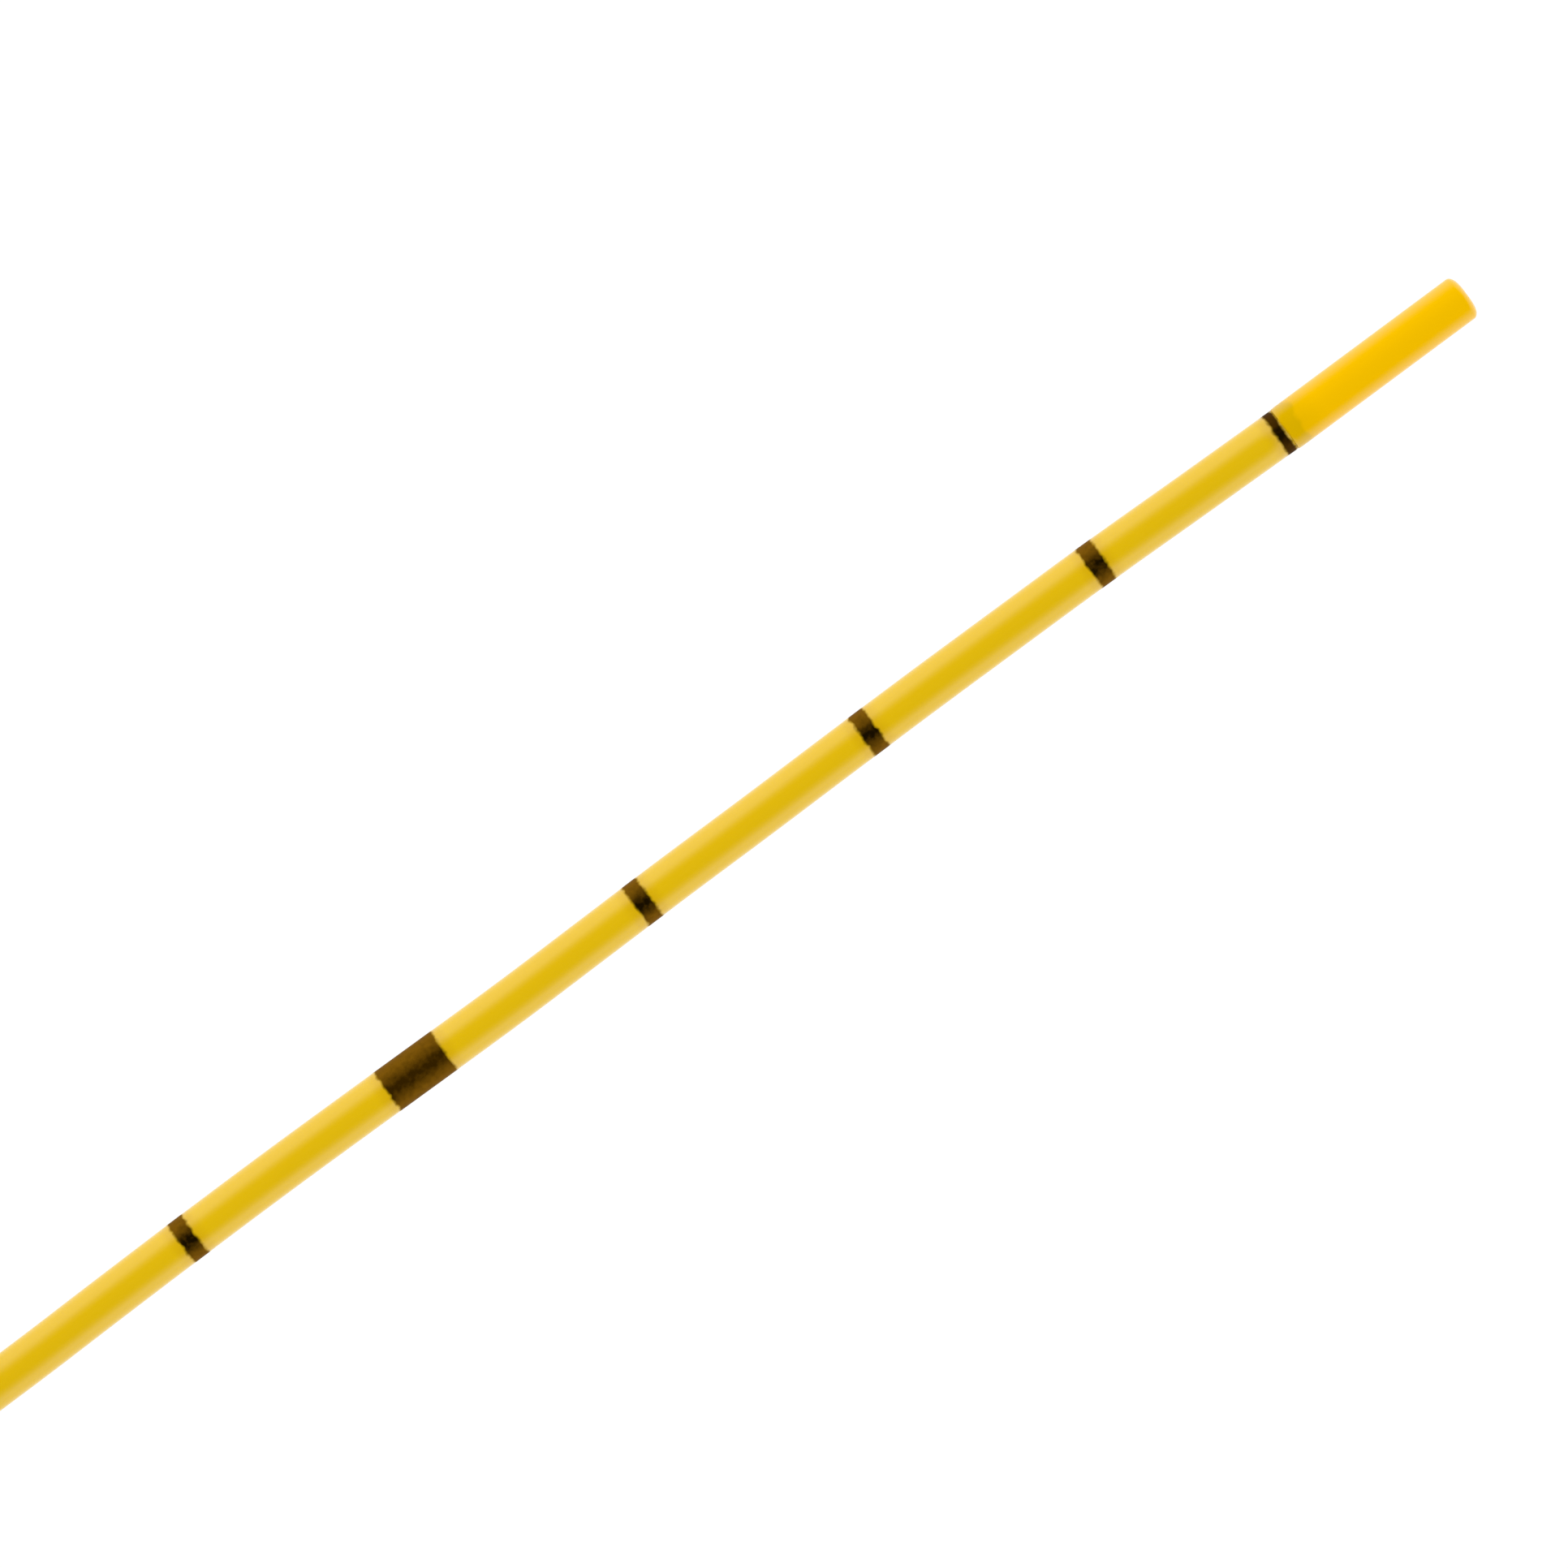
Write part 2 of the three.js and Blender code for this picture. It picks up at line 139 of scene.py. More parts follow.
def hank_stretch(at):
    """Distances from the hank's start to points: long loops with round ends, wound as flat spirals on
    top of each other, the lowest one inwards and the next one outwards, with a third of a turn to
    climb to the next."""
    level = at / hank_length * hank_layers
    radius = outer_turn - (1 - np.abs(level % 2 - 1)) * (outer_turn - inner_turn)
    run = at % one_turn
    along_side = np.clip(run, 0, hank_side) - np.clip(run - hank_side - half_end, 0, hank_side)
    ends = np.clip((run - hank_side) / half_end, 0, 1)
    ends += np.clip((run - 2 * hank_side - half_end) / half_end, 0, 1)
    angle = -math.pi * (0.5 + ends)
    step = np.clip(np.round(level), 1, hank_layers - 1)
    climb = np.clip((level - step) * climb_rate + 0.5, 0, 1)
    layer = step - 1 + climb**2 * (3 - 2 * climb)
    height = low_turn + layer * (top_turn - low_turn) / (hank_layers - 1)
    x = hank_start - along_side + radius * np.cos(angle)
    return np.stack([x, radius * np.sin(angle), height], axis=1)


def tail_stretch(at):
    """Distances from the hank's end to points: half a cosine wave back to the adapter's axis, then
    straight."""
    left = (1 + np.cos(math.pi * np.clip(at / bend_run, 0, 1))) / 2
    height = axis_height + (top_turn - axis_height) * left
    return np.stack([hank_end - at, -outer_turn * left, height], axis=1)


straight_steps = 75
hank_steps = 600
tail_step = 1 * mm
straight_at = np.linspace(tip_length, straight_run + bend_run, straight_steps)[:-1]
hank_at = np.linspace(0, hank_length, hank_steps)[:-1]
tail_at = np.arange(0, hank_end - cap_high.x + tube_in_adapter, tail_step)
shaft_path = np.concatenate(
    [straight_stretch(straight_at), hank_stretch(hank_at), tail_stretch(tail_at)]
)
pale_side_tilt = math.radians(6)  # turns the ink's painted pale sides a little round the tube: up on the +Y side, down on the -Y side


def tube_mesh(name, path, start, radii, sides=64):
    """A tube's closed mesh along a path, whose wall runs out along the path and back inside it: radii
    holds the radius at each step of the way out and back. Each point keeps its distance from the
    tip's end in millimetres (from_tip), whether it is outside (outside), and how far it is from the
    tube's sides, where the ink is painted paler for light: the size of the sine of its angle round the
    path, counted from the sides as turned a little round the tube (away_from_sides)."""
    tangent = np.gradient(path, axis=0)
    tangent /= np.linalg.norm(tangent, axis=1, keepdims=True)
    side = np.cross([0, 0, 1], tangent)
    side /= np.linalg.norm(side, axis=1, keepdims=True)
    up = np.cross(tangent, side)
    lengths = np.linalg.norm(np.diff(path, axis=0), axis=1)
    run = start + np.concatenate([[0], np.cumsum(lengths)])
    steps = np.arange(len(path))
    rows = np.concatenate([steps, steps[::-1]])
    angle = np.arange(sides) / sides * 2 * math.pi
    ring = side[rows][:, None] * np.cos(angle)[:, None] + up[rows][:, None] * np.sin(angle)[:, None]
    points = path[rows][:, None] + radii[:, None, None] * ring
    r = np.arange(len(rows))[:, None]
    s = np.arange(sides)[None, :]
    r2 = (r + 1) % len(rows)
    s2 = (s + 1) % sides
    faces = np.stack([r * sides + s, r * sides + s2, r2 * sides + s2, r2 * sides + s], axis=-1)
    mesh = bpy.data.meshes.new(name)
    mesh.from_pydata(points.reshape(-1, 3), [], faces.reshape(-1, 4).tolist())
    smooth = np.ones((len(rows), sides), dtype=bool)
    smooth[[len(path) - 1, -1]] = False  # the cut ends are flat
    mesh.polygons.foreach_set("use_smooth", smooth.ravel())
    kept = {
        "from_tip": np.repeat(run[rows] / mm, sides),
        "outside": np.repeat(np.repeat([1.0, 0.0], len(path)), sides),
        "away_from_sides": np.tile(np.abs(np.sin(angle + pale_side_tilt)), len(rows)),
    }
    for key, values in kept.items():
        layer = mesh.attributes.new(key, "FLOAT", "POINT")
        layer.data.foreach_set("value", values.astype(np.float32))
    piece = bpy.data.objects.new(name, mesh)
    bpy.context.scene.collection.objects.link(piece)
    return piece


shaft_radii = np.repeat([tube_radius, lumen_radius], len(shaft_path))
shaft = tube_mesh("shaft", shaft_path, tip_length, shaft_radii)
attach(shaft, "catheter")
marks = [f"depth_mark_{i}" for i in range(1, 7)]
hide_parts("shaft_straight", "shaft_hank", "shaft_tail", *marks)


def new_material(name, **sockets):
    """A material with one Principled shader, and values for its sockets by name."""
    material = bpy.data.materials.new(name)
    material.use_nodes = True
    shader = material.node_tree.nodes["Principled BSDF"]
    for key, value in sockets.items():
        shader.inputs[key.replace("_", " ")].default_value = value
    return material, shader


def maths(tree, operation, *values, clamp=False):
    """One Math node, whose inputs are numbers or other nodes' outputs."""
    node = tree.nodes.new("ShaderNodeMath")
    node.operation = operation
    node.use_clamp = clamp
    for socket, value in zip(node.inputs, values):
        if isinstance(value, (int, float)):
            socket.default_value = value
        else:
            tree.links.new(value, socket)
    return node.outputs[0]


def eased(tree, value, low, high, to_low=0.0, to_high=1.0):
    """A smooth step of a value: to_low up to low, to_high from high on."""
    node = tree.nodes.new("ShaderNodeMapRange")
    node.interpolation_type = "SMOOTHSTEP"
    node.inputs["From Min"].default_value = low
    node.inputs["From Max"].default_value = high
    node.inputs["To Min"].default_value = to_low
    node.inputs["To Max"].default_value = to_high
    tree.links.new(value, node.inputs["Value"])
    return node.outputs[0]


def attribute(tree, name):
    """A number that each point of the mesh keeps under a name."""
    node = tree.nodes.new("ShaderNodeAttribute")
    node.attribute_name = name
    return node.outputs["Fac"]


def noise(tree, scale, detail=2.0):
    """A noise in object space, from 0 to 1, with features about one part in scale of a metre."""
    place = tree.nodes.new("ShaderNodeTexCoord").outputs["Object"]
    node = tree.nodes.new("ShaderNodeTexNoise")
    node.inputs["Scale"].default_value = scale
    node.inputs["Detail"].default_value = detail
    tree.links.new(place, node.inputs["Vector"])
    return node.outputs[0]


def mixed(tree, share, one, other):
    """A colour between two, which are a colour or another node's output each: the first one where the
    share is 0 and the other where it is 1."""
    node = tree.nodes.new("ShaderNodeMix")
    node.data_type = "RGBA"
    for socket, value in zip((node.inputs[0], node.inputs[6], node.inputs[7]), (share, one, other)):
        if isinstance(value, (tuple, list, float, int)):
            socket.default_value = value
        else:
            tree.links.new(value, socket)
    return node.outputs[2]


# Translucent yellow plastic with rings of dark ink: narrow ones every 10 mm, a wide one in each fifth
# place and a thin one on the weld. The ink is matte. Its colour is painted paler at the tube's sides,
# for the reflection of the bright surroundings and the light through the wall there, and beside each
# ring a painted shade of orange-brown stands for the ink's shadow through the wall. Lengths along the
# tube are in millimetres from the tip's end.
shaft_yellow = (0.865, 0.552, 0.0, 1)
# painted shade: the ink's shadow through the wall, an orange-brown on the yellow beside each ring
ink_shadow_brown = (0.55, 0.27, 0.0, 1)
# painted light: paler ink colours for the tube's sides, one for the weld ring and one for the others
pale_side_ink = (0.19, 0.085, 0.003, 1)
weld_pale_side_ink = (0.075, 0.03, 0.001, 1)
ink_thick = (0.035, 0.015, 0.0, 1)
ink_narrow = (0.010, 0.005, 0.0, 1)
ring_place = 16.2
ring_pitch = 10.0
ring_half = 0.33
wide_place = 46.2
wide_pitch = 50.0
wide_half = 1.26
weld_place = 8.24
weld_half = 0.2
ragged_width = 0.17  # how far a ring's edge wanders
ink_shadow_reach = 0.5  # how far the painted shadow of the ink reaches beyond a ring
ink_shadow_strength = 0.25
pale_side_power = 6.0  # how soon the ink's painted paleness sets in towards the tube's sides
mottle_share = 0.8

shaft_material, shader = new_material(
    "shaft",
    Roughness=0.6,
    IOR=1.0,
    Coat_IOR=1.6,
    Coat_Roughness=0.14,
    Sheen_Weight=0.15,
    Sheen_Roughness=0.3,
)
tree = shaft_material.node_tree
from_tip = attribute(tree, "from_tip")
outside = attribute(tree, "outside")


def ring_edge(tree, place, pitch, half):
    """The distance along the tube to the edge of the nearest of a row of rings, negative inside one:
    how far it is to the nearest multiple of pitch from place, less half a ring's width."""
    to_middle = maths(tree, "PINGPONG", maths(tree, "SUBTRACT", from_tip, place), pitch / 2)
    return maths(tree, "SUBTRACT", to_middle, half)


ragged = maths(tree, "MULTIPLY", maths(tree, "SUBTRACT", noise(tree, 3800, 1), 0.5), ragged_width)
wide_edge = ring_edge(tree, wide_place, wide_pitch, wide_half)
to_weld = maths(tree, "ABSOLUTE", maths(tree, "SUBTRACT", from_tip, weld_place))
edge = maths(tree, "MINIMUM", ring_edge(tree, ring_place, ring_pitch, ring_half), wide_edge)
edge = maths(tree, "MINIMUM", edge, maths(tree, "SUBTRACT", to_weld, weld_half))
edge = maths(tree, "ADD", edge, ragged)
ink = maths(tree, "MULTIPLY", eased(tree, edge, -0.09, 0.07, 1, 0), outside)
# painted shade beside each ring, for the ink's shadow through the wall
painted_ink_shadow = maths(tree, "MULTIPLY", eased(tree, edge, 0.0, ink_shadow_reach, ink_shadow_strength, 0), outside)
# the ink is painted paler towards the tube's sides, for the reflection of the bright surroundings and
# light through the wall there
ink_middle_share = maths(tree, "POWER", attribute(tree, "away_from_sides"), pale_side_power)
mottle = maths(tree, "MULTIPLY", maths(tree, "SUBTRACT", noise(tree, 5000, 3), 0.5), mottle_share)
ink_middle_share = maths(tree, "ADD", ink_middle_share, mottle, clamp=True)
ink_middle = mixed(tree, eased(tree, wide_edge, 0, 0.5), ink_thick, ink_narrow)
ink_pale_side = mixed(tree, eased(tree, to_weld, 0.3, 0.8), weld_pale_side_ink, pale_side_ink)
ink_color = mixed(tree, ink_middle_share, ink_pale_side, ink_middle)
color = mixed(tree, ink, mixed(tree, painted_ink_shadow, shaft_yellow, ink_shadow_brown), ink_color)
tree.links.new(color, shader.inputs["Base Color"])
tree.links.new(eased(tree, ink, 0, 1, 1, 0), shader.inputs["Coat Weight"])
shaft.data.materials.append(shaft_material)

# ---- The soft tip ----
# A softer, more opaque and brighter yellow tube, a little thicker than the shaft and welded to its
# end. Its own end is rounded outside, and its lumen's rim is bevelled. The heat of the weld has
# dulled its last 1.5 mm, and the last 0.5 mm most.

tip_dome = 0.3 * mm  # how far back the rounding of the end reaches
dome_power = 3.2  # the rounding is 1 - sqrt(1 - share of the radius to this power)
mouth_angle = 0.62  # the rounding starts at this angle's sine as a share of the radius
straight_from = 0.45 * mm
weld_bevel = 0.01 * mm
mouth_bevel = 0.004 * mm
dome_radii = tip_radius * np.sin(np.linspace(mouth_angle, math.pi / 2, 12))
dome_at = tip_dome * (1 - np.sqrt(1 - (dome_radii / tip_radius) ** dome_power))
dome_at -= dome_at[0]
plain_at = np.linspace(straight_from, tip_length - weld_bevel, 50)
tip_at = np.concatenate([dome_at, plain_at, [tip_length]])
tip_path = np.stack([tip_end - tip_at, 0 * tip_at, 0 * tip_at + tip_radius], axis=1)
outer_radii = np.concatenate([dome_radii, np.full(len(tip_at) - len(dome_radii), tip_radius)])
outer_radii[-2:] = tip_radius - weld_bevel, tube_radius
inner_radii = np.full(len(tip_at), lumen_radius)
inner_radii[:2] = dome_radii[0] - mouth_bevel, lumen_radius + mouth_bevel
tip_radii = np.concatenate([outer_radii, inner_radii[::-1]])
tip = tube_mesh("tip", tip_path, 0, tip_radii)
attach(tip, "catheter")
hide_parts("soft_tip")
tip_yellow = (0.98, 0.555, 0.0, 1)
weld_yellow = (0.76, 0.46, 0.0, 1)
tip_material, shader = new_material("tip", Roughness=0.6, IOR=1.0, Coat_IOR=1.5, Coat_Roughness=0.2)
tree = tip_material.node_tree
weld_wander = maths(tree, "MULTIPLY", noise(tree, 1500, 2), 0.5)
weld_at = maths(tree, "ADD", attribute(tree, "from_tip"), weld_wander)
weld_rim = eased(tree, weld_at, 7.55, 7.75, 0, 0.6)
weld_blur = eased(tree, weld_at, 6.6, 7.8, 0, 0.4)
weld = maths(tree, "ADD", weld_rim, weld_blur)
tree.links.new(mixed(tree, weld, tip_yellow, weld_yellow), shader.inputs["Base Color"])
# The skin is satin: it shines towards its sides and hardly at all where it is seen squarely.
facing = tree.nodes.new("ShaderNodeLayerWeight").outputs["Facing"]
tree.links.new(eased(tree, facing, 0.12, 0.42), shader.inputs["Coat Weight"])
tip.data.materials.append(tip_material)

# ---- The strap ----
# A strip of white coated paper, wound once round the hank's middle and bonded to itself on top, where
# its ends overlap. Only its grip on the hank holds it in place.

strap_low, strap_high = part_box("hank_strap")
strap_sheet = 0.15 * mm
strap_lap = 6 * mm
strap_corner = 1.1 * mm


def strap_course(share):
    """Shares of the strip's length to points of its middle surface in the plane across the hank, and
    to the directions out of it: a rectangle with round corners, from one end of the lap round to
    the other, where it lies one sheet higher."""
    half = strap_high.y - strap_sheet / 2 - strap_corner
    low = strap_sheet / 2
    high = strap_high.z - strap_sheet * 1.5
    rise = high - low - 2 * strap_corner
    quarter = math.pi / 2 * strap_corner
    sides = [strap_lap / 2 + half, quarter, rise, quarter, 2 * half, quarter, rise, quarter]
    runs = np.cumsum(sides)
    whole = runs[-1] + half + strap_lap / 2
    d = share * whole
    corners = [np.clip((d - runs[k]) / quarter, 0, 1) for k in (0, 2, 4, 6)]
    turn = sum(corners) * math.pi / 2  # 0 along the top towards -Y, then round by the bottom
    heading = np.stack([-np.cos(turn), -np.sin(turn)], axis=1)
    steps = np.diff(d)[:, None] * (heading[1:] + heading[:-1]) / 2
    place = [strap_lap / 2, high] + np.concatenate([[[0, 0]], np.cumsum(steps, axis=0)])
    lifted = np.clip((d - runs[-1] - half + strap_lap) / (strap_lap / 2), 0, 1)
    place[:, 1] += strap_sheet * lifted**2 * (3 - 2 * lifted)
    return place, np.stack([-np.sin(turn), np.cos(turn)], axis=1)


def strip_mesh(name, course, normal, low_x, high_x, sheet):
    """A strip of sheet along a course in the YZ plane: each step has two points on either face."""
    out = course + normal * sheet / 2
    back = course - normal * sheet / 2
    corners = [(low_x, out), (high_x, out), (high_x, back), (low_x, back)]
    rows = [np.column_stack([np.full(len(course), x), yz]) for x, yz in corners]
    points = np.stack(rows, axis=1)
    r = np.arange(len(course) - 1)[:, None] * 4
    s = np.arange(4)[None, :]
    s2 = (s + 1) % 4
    faces = np.stack([r + s, r + 4 + s, r + 4 + s2, r + s2], axis=-1).reshape(-1, 4).tolist()
    last = (len(course) - 1) * 4
    faces += [[0, 1, 2, 3], [last + 3, last + 2, last + 1, last]]
    mesh = bpy.data.meshes.new(name)
    mesh.from_pydata(points.reshape(-1, 3), [], faces)
    piece = bpy.data.objects.new(name, mesh)
    bpy.context.scene.collection.objects.link(piece)
    return piece


strap_steps = 420
course, normal = strap_course(np.linspace(0, 1, strap_steps))
strap = strip_mesh("strap", course, normal, strap_low.x, strap_high.x, strap_sheet)
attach(strap, "catheter")
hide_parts("hank_strap")
paper, shader = new_material("paper", Roughness=0.75, IOR=1.45)
paper_dim = (0.80, 0.80, 0.76, 1)
paper_white = (0.90, 0.90, 0.87, 1)
tree = paper.node_tree
fibres = noise(tree, 4000, 4)
tree.links.new(mixed(tree, fibres, paper_dim, paper_white), shader.inputs["Base Color"])
bump = tree.nodes.new("ShaderNodeBump")
bump.inputs["Strength"].default_value = 0.3
bump.inputs["Distance"].default_value = 0.02 * mm
tree.links.new(fibres, bump.inputs["Height"])
tree.links.new(bump.outputs[0], shader.inputs["Normal"])
strap.data.materials.append(paper)

# ---- The adapter's body ----
# Clear moulded polycarbonate, clamped and sealed onto the tube's far end: a threaded gland, a collar,
# a barrel with two flat wings to hold it by, and a tapered Luer port whose rim has two lugs for a
# locking collar. Places along it are distances behind the cap's nose.

nose = cap_high.x
thread_pitch = 1.5 * mm
thread_depth = 0.6 * mm
thread_radius = 3.75 * mm
thread_front = 2.6 * mm
thread_back = 8.6 * mm
neck_front = 8.85 * mm
gland_radius = 2.6 * mm
gland_end = 9.25 * mm
bore_radius = 1.203 * mm
barrel_radius = 3.3 * mm
collar_front = 10.6 * mm
collar_back = 12.2 * mm
collar_radius = 4.5 * mm
port_from = 28.5 * mm
body_end = 30 * mm
luer_rim_radius = 2.145 * mm
luer_foot = 22 * mm
luer_foot_radius = 1.905 * mm
cone_end = 22.7 * mm  # the bore ends on top of a short cone that stands in the port
lug_radius = 3.9 * mm
lug_front = 28.65 * mm
lug_back = 29.75 * mm
lug_half_angle = 0.6
wing_middle = 17.1 * mm
wing_half_length = 4 * mm
wing_half_span = 7.5 * mm
wing_half_thickness = 0.7 * mm
wing_corner = 2.6 * mm
wing_edge = 0.45 * mm


def rounded(profile, edge, points=4):
    """A closed profile of (distance behind the nose, radius) with each corner replaced by a curve that
    starts and ends at edge from it, or at 0.45 of the neighbouring side:
    (1 - t)^2 start + 2 t (1 - t) corner + t^2 end."""
    profile = np.array(profile)
    ends = []
    for neighbour in (np.roll(profile, 1, axis=0), np.roll(profile, -1, axis=0)):
        side = neighbour - profile
        length = np.linalg.norm(side, axis=1, keepdims=True)
        ends.append((profile + side / length * np.minimum(edge, 0.45 * length))[:, None])
    start, end = ends
    corner = profile[:, None]
    t = np.linspace(0, 1, points)[None, :, None]
    return ((1 - t) ** 2 * start + 2 * t * (1 - t) * corner + t**2 * end).reshape(-1, 2)


def stepped(profile, longest):
    """The same closed profile with its long sides cut into steps no longer than longest."""
    parts = []
    for a, b in zip(profile, np.roll(profile, -1, axis=0)):
        count = max(1, math.ceil(np.hypot(*(b - a)) / longest))
        parts.append(a + (b - a) * np.arange(count)[:, None] / count)
    return np.concatenate(parts)


def thread_wave(x, angle, front, back, side):
    """How far a right-hand thread raises a wall: half its depth times cos(2 pi x / pitch + angle),
    faded over a pitch at each end into a plain wall at side times half the depth, and nothing
    outside the stretch."""
    inside = np.minimum(x - front, back - x)
    fade = np.clip(inside / thread_pitch, 0, 1)
    wave = np.cos(2 * math.pi * x / thread_pitch + angle)
    return np.where(inside > -1e-6, thread_depth / 2 * (fade * wave + (1 - fade) * side), 0)


def turned_mesh(name, profile, raise_by=None, sides=128):
    """A ring about the adapter's axis: a closed profile of (distance behind the nose, radius) swept
    round it, with raise_by(distance, radius, angle) added to the radius. The angle is 0 at +Y and a
    quarter of a turn at +Z. A profile that runs the other way round has its faces turned over."""
    x, radius = np.array(profile).T[:, :, None]
    angle = np.arange(sides)[None, :] / sides * 2 * math.pi
    r = radius + (raise_by(x, radius, angle) if raise_by else 0)
    places = np.broadcast_arrays(nose - x, r * np.cos(angle), axis_height + r * np.sin(angle))
    points = np.stack(places, axis=-1)
    row = np.arange(len(profile))[:, None] * sides
    row2 = np.roll(row, -1)
    s = np.arange(sides)[None, :]
    s2 = (s + 1) % sides
    faces = np.stack([row + s, row + s2, row2 + s2, row2 + s], axis=-1)
    here = np.array(profile)
    after = np.roll(here, -1, axis=0)
    twice_area = (here[:, 0] * after[:, 1] - after[:, 0] * here[:, 1]).sum()
    if twice_area < 0:
        faces = faces[..., ::-1]
    mesh = bpy.data.meshes.new(name)
    mesh.from_pydata(points.reshape(-1, 3), [], faces.reshape(-1, 4).tolist())
    mesh.shade_smooth()
    piece = bpy.data.objects.new(name, mesh)
    bpy.context.scene.collection.objects.link(piece)
    return piece


def slab_mesh(name, middle, half_length, half_span, half_thickness, corner, edge, steps=6):
    """A flat plate with round corners and rounded edges: rings of the same outline, drawn in by
    edge (1 - cos a) at the height half_thickness - edge (1 - sin a), above and below."""
    turn = np.linspace(0, math.pi / 2, 10)
    a = np.linspace(0, math.pi / 2, steps)
    inset = edge * (1 - np.cos(a))
    inset = np.concatenate([inset[::-1], inset])
    height = half_thickness - edge * (1 - np.sin(a))
    height = np.concatenate([-height[::-1], height])
    sign = ((1, 1), (-1, 1), (-1, -1), (1, -1))
    angle = np.concatenate([turn + k * math.pi / 2 for k in range(4)])
    cx = np.repeat([sx * (half_length - corner) for sx, _ in sign], len(turn))
    cy = np.repeat([sy * (half_span - corner) for _, sy in sign], len(turn))
    r = corner - inset[:, None]
    x = middle + cx + r * np.cos(angle)
    y = cy + r * np.sin(angle)
    z = axis_height + height[:, None] + 0 * cx
    points = np.stack([x, y, z], axis=-1)
    n = len(angle)
    row = np.arange(len(height) - 1)[:, None] * n
    s = np.arange(n)[None, :]
    s2 = (s + 1) % n
    faces = np.stack([row + s, row + s2, row + n + s2, row + n + s], axis=-1).reshape(-1, 4).tolist()
    faces += [list(range(n))[::-1], [(len(height) - 1) * n + k for k in range(n)]]
    mesh = bpy.data.meshes.new(name)
    mesh.from_pydata(points.reshape(-1, 3), [], faces)
    piece = bpy.data.objects.new(name, mesh)
    bpy.context.scene.collection.objects.link(piece)
    return piece


body_corners = [
    (thread_front, thread_radius),
    (thread_back, thread_radius),
    (neck_front, barrel_radius),
    (collar_front, barrel_radius),
    (collar_front, collar_radius),
    (collar_back, collar_radius),
    (collar_back, barrel_radius),
    (port_from, barrel_radius),
    (body_end, barrel_radius),
    (body_end, luer_rim_radius),
    (luer_foot, luer_foot_radius),
    (cone_end, bore_radius),
    (gland_end, bore_radius),
    (gland_end, gland_radius),
    (thread_front, gland_radius),
]
body_profile = stepped(rounded(body_corners, 0.22 * mm), 0.12 * mm)


def body_relief(x, radius, angle):
    """The thread on the gland, and the two lugs, one above and one below the axis, whose sides slope
    over 0.05 of their angle and whose ends slope over 0.15 mm."""
    on_gland = radius > thread_radius - thread_depth / 2
    thread = np.where(on_gland, thread_wave(x, angle, thread_front, thread_back, -1), 0)
    from_lug = np.arccos(np.clip(np.abs(np.sin(angle)), 0, 1))
    around = np.clip((lug_half_angle - from_lug) / 0.05, 0, 1)
    lengthwise = np.clip(np.minimum(x - lug_front, lug_back - x) / (0.15 * mm) + 1, 0, 1)
    on_barrel = radius > barrel_radius - 0.05 * mm
    return thread + np.where(on_barrel, (lug_radius - barrel_radius) * around * lengthwise, 0)


def combined(target, tool, operation):
    """A Boolean operation on a piece with a tool, which is used up."""
    step = target.modifiers.new(operation.lower(), "BOOLEAN")
    step.operation = operation
    step.object = tool
    bpy.context.view_layer.update()
    whole = target.evaluated_get(bpy.context.evaluated_depsgraph_get())
    made = bpy.data.meshes.new_from_object(whole)
    target.modifiers.clear()
    target.data = made
    bpy.data.objects.remove(tool)


body = turned_mesh("adapter", body_profile, body_relief, sides=160)
wings = slab_mesh(
    "wings",
    nose - wing_middle,
    wing_half_length,
    wing_half_span,
    wing_half_thickness,
    wing_corner,
    wing_edge,
)
core_radius = 2.6 * mm  # inside the barrel's wall, where the wings leave room for the bore
core_front = 12.5 * mm
core_back = 29 * mm
core_hole = 0.001 * mm
core_corners = [
    (core_front, core_hole),
    (core_front, core_radius),
    (core_back, core_radius),
    (core_back, core_hole),
]
bore = turned_mesh("bore", core_corners, sides=96)
combined(wings, bore, "DIFFERENCE")
combined(body, wings, "UNION")
body.data.shade_smooth()


def gloss_group():
    """A node group that gives a roughness between two values, in soft patches about 1 / scale of a
    metre wide."""
    group = bpy.data.node_groups.new("uneven gloss", "ShaderNodeTree")
    for name in ("Scale", "Smooth", "Dull"):
        group.interface.new_socket(name=name, in_out="INPUT", socket_type="NodeSocketFloat")
    group.interface.new_socket(name="Roughness", in_out="OUTPUT", socket_type="NodeSocketFloat")
    given = group.nodes.new("NodeGroupInput")
    patches = group.nodes.new("ShaderNodeTexNoise")
    patches.inputs["Detail"].default_value = 3
    group.links.new(group.nodes.new("ShaderNodeTexCoord").outputs["Object"], patches.inputs["Vector"])
    group.links.new(given.outputs["Scale"], patches.inputs["Scale"])
    spread = group.nodes.new("ShaderNodeMapRange")
    spread.interpolation_type = "SMOOTHSTEP"
    spread.inputs["From Min"].default_value = 0.3
    spread.inputs["From Max"].default_value = 0.7
    group.links.new(patches.outputs[0], spread.inputs["Value"])
    group.links.new(given.outputs["Smooth"], spread.inputs["To Min"])
    group.links.new(given.outputs["Dull"], spread.inputs["To Max"])
    group.links.new(spread.outputs[0], group.nodes.new("NodeGroupOutput").inputs["Roughness"])
    return group


gloss = gloss_group()


def uneven_gloss(material, shader, scale, smooth, dull):
    """Puts the group into a material, with its own scale and its own least and most roughness."""
    node = material.node_tree.nodes.new("ShaderNodeGroup")
    node.node_tree = gloss
    for key, value in (("Scale", scale), ("Smooth", smooth), ("Dull", dull)):
        node.inputs[key].default_value = value
    material.node_tree.links.new(node.outputs["Roughness"], shader.inputs["Roughness"])


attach(body, "adapter")
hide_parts("adapter_body")
clear, shader = new_material(
    "clear", Base_Color=(0.93, 0.96, 0.97, 1), IOR=1.5, Transmission_Weight=0.9
)
uneven_gloss(clear, shader, 400, 0.04, 0.08)
body.data.materials.append(clear)

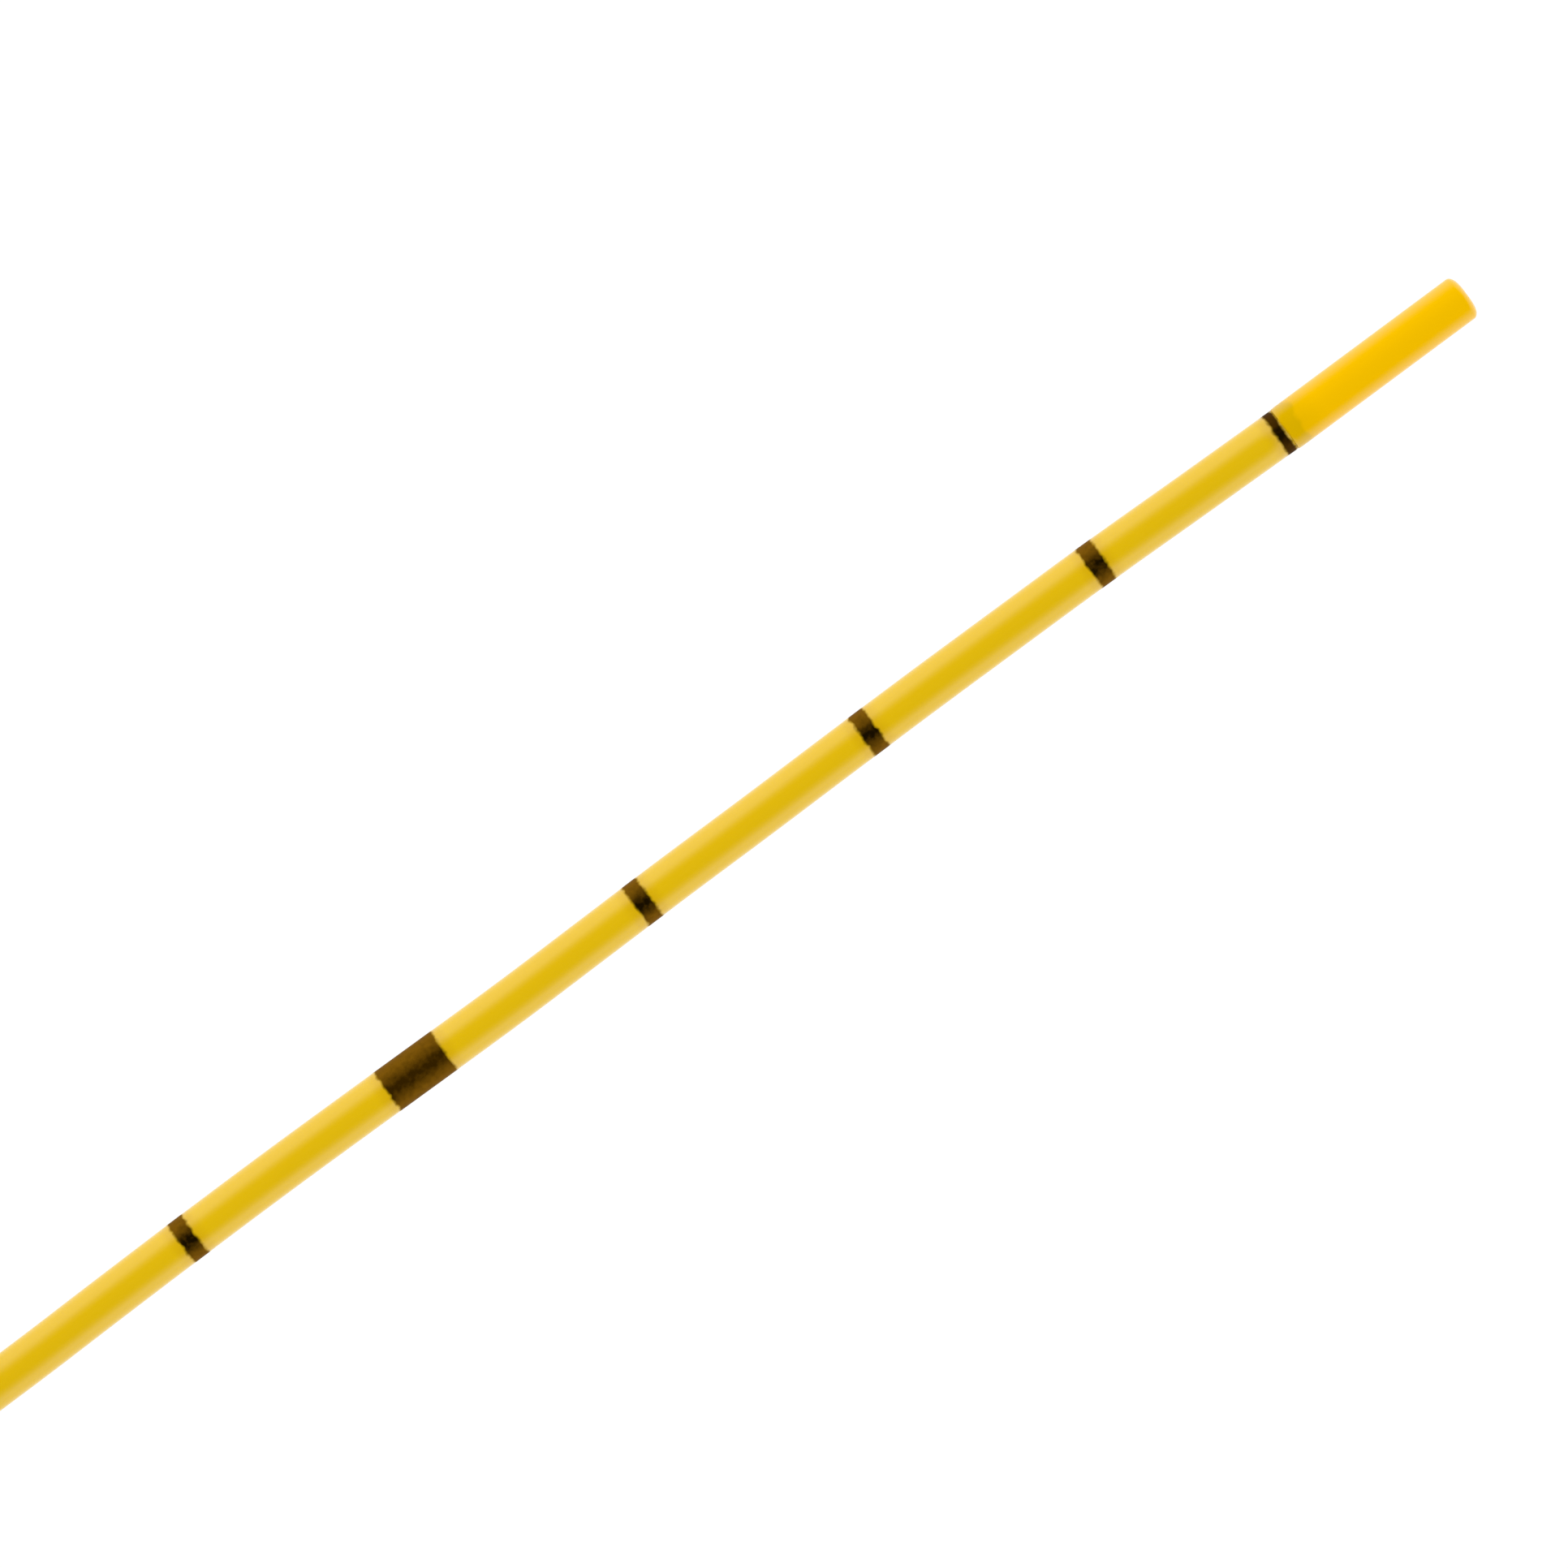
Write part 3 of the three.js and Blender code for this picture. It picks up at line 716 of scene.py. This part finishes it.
# ---- The seal and the washer ----
# A grey silicone grommet that a tightened cap squeezes onto the tube, and a white washer that keeps
# the turning cap from twisting it.

seal_hole = 0.88 * mm
seal_radius = 2.5 * mm
seal_front = 5.2 * mm
seal_back = 9.2 * mm
washer_front = 4.35 * mm
washer_back = 5.15 * mm


def sleeve_profile(front, back, hole, radius):
    """A short sleeve's closed profile, with edges rounded by 0.15 mm."""
    return rounded([(front, hole), (front, radius), (back, radius), (back, hole)], 0.15 * mm)


seal_profile = sleeve_profile(seal_front, seal_back, seal_hole, seal_radius)
seal = turned_mesh("seal", seal_profile, sides=96)
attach(seal, "adapter")
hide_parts("seal_grommet")
silicone, shader = new_material("silicone", Base_Color=(0.48, 0.55, 0.57, 1), IOR=1.41)
uneven_gloss(silicone, shader, 900, 0.46, 0.6)
seal.data.materials.append(silicone)

washer_profile = sleeve_profile(washer_front, washer_back, bore_radius, seal_radius)
washer = turned_mesh("washer", washer_profile, sides=96)
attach(washer, "washer")
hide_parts("thrust_washer")
washer_white, shader = new_material("washer", Base_Color=(0.88, 0.88, 0.85, 1), IOR=1.49)
uneven_gloss(washer_white, shader, 900, 0.3, 0.42)
washer.data.materials.append(washer_white)

# ---- The compression cap ----
# White moulded plastic with twelve grip ribs. Its skirt screws onto the body and its boss presses on
# the washer. Places along it are distances behind its nose.

cap_radius = 5.5 * mm
cap_face_radius = 4.9 * mm
cap_length = 10 * mm
cap_bevel = 0.6 * mm
skirt_radius = 3.91 * mm
skirt_relief_radius = 4.21 * mm
skirt_mouth = 9.9 * mm
skirt_thread_front = 2.6 * mm
skirt_foot = 1.6 * mm
boss_radius = 2.5 * mm
boss_end = 4.3 * mm
mouth_radius = 2.1 * mm
mouth_depth = 0.9 * mm
rib_count = 12
rib_depth = 0.45 * mm
rib_fade = 0.5 * mm
rib_front = 0.5 * mm
rib_back = 9.5 * mm
cap_corners = [
    (0, cap_face_radius),
    (cap_bevel, cap_radius),
    (cap_length - cap_bevel, cap_radius),
    (cap_length, cap_face_radius),
    (cap_length, skirt_relief_radius),
    (skirt_mouth, skirt_radius),
    (skirt_thread_front, skirt_radius),
    (skirt_foot, skirt_relief_radius),
    (skirt_foot, boss_radius),
    (boss_end, boss_radius),
    (boss_end, bore_radius),
    (mouth_depth, bore_radius),
    (0, mouth_radius),
]
cap_profile = stepped(rounded(cap_corners, 0.3 * mm, 5), 0.12 * mm)


def cap_relief(x, radius, angle):
    """Grooves outside that leave grip ribs with broad crests, rib_depth times the square of half of
    1 - cos(rib_count times the angle from straight below), faded out at both ends; and the thread
    inside, which runs on through the skirt's mouth."""
    wave = (0.5 - 0.5 * np.cos(rib_count * (angle + math.pi / 2))) ** 2
    ends = np.clip(np.minimum(x - rib_front, rib_back - x) / rib_fade, 0, 1)
    ribs = np.where(radius > 4.95 * mm, -rib_depth * wave * ends, 0)
    skirt = (radius > 3.6 * mm) & (radius < 4.15 * mm)
    thread = thread_wave(x, angle, skirt_thread_front, cap_length + 0.1 * mm, 1)
    return ribs + np.where(skirt, thread, 0)


cap = turned_mesh("cap", cap_profile, cap_relief, sides=192)
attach(cap, "cap")
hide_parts("compression_cap")
cap_white, shader = new_material("cap", Base_Color=(0.86, 0.86, 0.83, 1), IOR=1.49)
uneven_gloss(cap_white, shader, 500, 0.3, 0.42)
cap.data.materials.append(cap_white)

# ---- The catheter as one free tube ----
# The tube is loose from its tip to the adapter, 692 mm of it, and only the strap holds the hank
# together.

# ---- The floor and the light ----
# A white light table under a soft white surround that is dark straight above, where the camera would
# hang.

floor = bpy.data.objects.new("floor", bpy.data.meshes.new("floor"))
bpy.context.scene.collection.objects.link(floor)
half = 2.0
table_corners = [(-half, -half, 0), (half, -half, 0), (half, half, 0), (-half, half, 0)]
floor.data.from_pydata(table_corners, [], [(0, 1, 2, 3)])
floor_material, shader = new_material(
    "floor",
    Base_Color=(0.05, 0.05, 0.05, 1),
    Roughness=0.9,
    Emission_Color=(1, 1, 1, 1),
    Emission_Strength=1.0,
)
floor.data.materials.append(floor_material)

world = bpy.data.worlds.new("studio")
bpy.context.scene.world = world
world.use_nodes = True
tree = world.node_tree
sky = tree.nodes["Background"]
sky.inputs["Color"].default_value = (1, 1, 1, 1)
sky_tilt = math.radians(8.5)  # the darkest point leans from straight above to -Y by this
sky_strength = 1.2
sky_white_to = 0.3  # cosines of the angle from the darkest point
sky_black_from = 0.95
toward = tree.nodes.new("ShaderNodeVectorMath")
toward.operation = "DOT_PRODUCT"
toward.inputs[1].default_value = (0, -math.sin(sky_tilt), math.cos(sky_tilt))
tree.links.new(tree.nodes.new("ShaderNodeTexCoord").outputs["Generated"], toward.inputs[0])
glow = eased(tree, toward.outputs["Value"], sky_white_to, sky_black_from, sky_strength, 0.0)
tree.links.new(glow, sky.inputs["Strength"])

lamp = bpy.data.lights.new("softbox", "AREA")
lamp.size = 3.0
lamp.energy = 17.6
softbox = bpy.data.objects.new("softbox", lamp)
bpy.context.scene.collection.objects.link(softbox)
softbox.location = (0, -0.05, 1.2)
softbox.visible_glossy = False  # it lights the plastic without a highlight
softbox.visible_camera = False

bpy.context.scene.view_settings.view_transform = "Standard"
